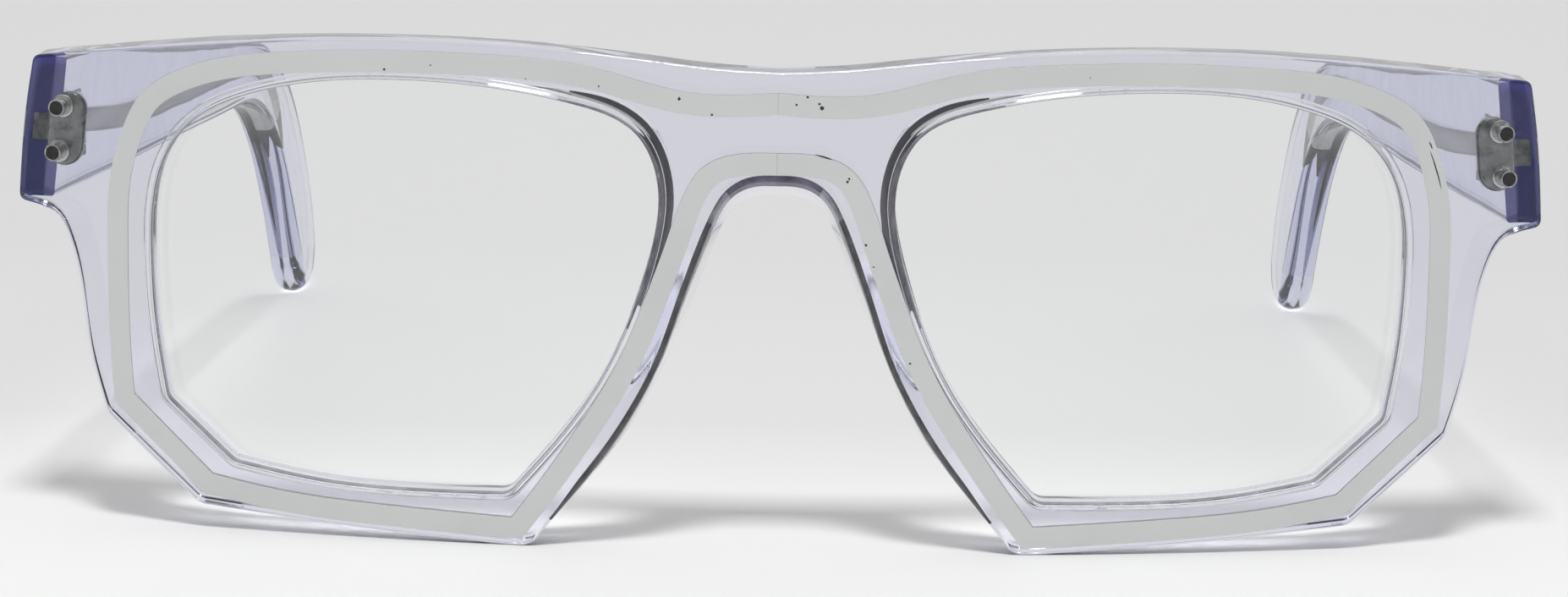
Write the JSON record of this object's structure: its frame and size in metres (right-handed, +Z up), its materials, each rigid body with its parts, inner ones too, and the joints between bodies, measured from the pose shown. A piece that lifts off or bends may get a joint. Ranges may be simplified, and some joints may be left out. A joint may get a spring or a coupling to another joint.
{
  "type": "eyeglasses",
  "caption": "Square flat-top eyeglasses of thick clear acetate with a frosted inlay band round the lenses, clear lenses and folding hooked temples.",
  "frame": {"origin": "centre of the bounding box at table level", "axes": "+Z up, -Y the way the front faces, +X the wearer's left"},
  "size_m": [0.1484, 0.1332, 0.0487],
  "materials": {
    "acetate": "polished, clear with a pale violet tint",
    "inlay": "frosted grey-green",
    "lens": "clear, coated",
    "hinge": "satin nickel",
    "core_wire": "bright drawn",
    "screw": "polished"
  },
  "bodies": {
    "front_frame": {"front": "acetate", "inlay_left": "inlay", "inlay_right": "inlay", "lens_left": "lens", "lens_right": "lens", "nose_pad_left": "acetate", "nose_pad_right": "acetate", "hinge_front_leaf_left": "hinge", "hinge_front_leaf_right": "hinge", "hinge_rivets_left": "hinge", "hinge_rivets_right": "hinge", "hinge_screw_left": "screw", "hinge_screw_right": "screw"},
    "left_temple": {"temple_left": "acetate", "core_wire_left": "core_wire", "hinge_temple_leaf_left": "hinge"},
    "right_temple": {"temple_right": "acetate", "core_wire_right": "core_wire", "hinge_temple_leaf_right": "hinge"}
  },
  "joints": [
    {"name": "left_hinge", "type": "hinge", "parent": "front_frame", "child": "left_temple", "pos_m": [0.06841, -0.05299, 0.0384], "axis": [0, 0, 1], "range_deg": [0, 88]},
    {"name": "right_hinge", "type": "hinge", "parent": "front_frame", "child": "right_temple", "pos_m": [-0.06841, -0.05299, 0.0384], "axis": [0, 0, -1], "range_deg": [0, 83]}
  ]
}
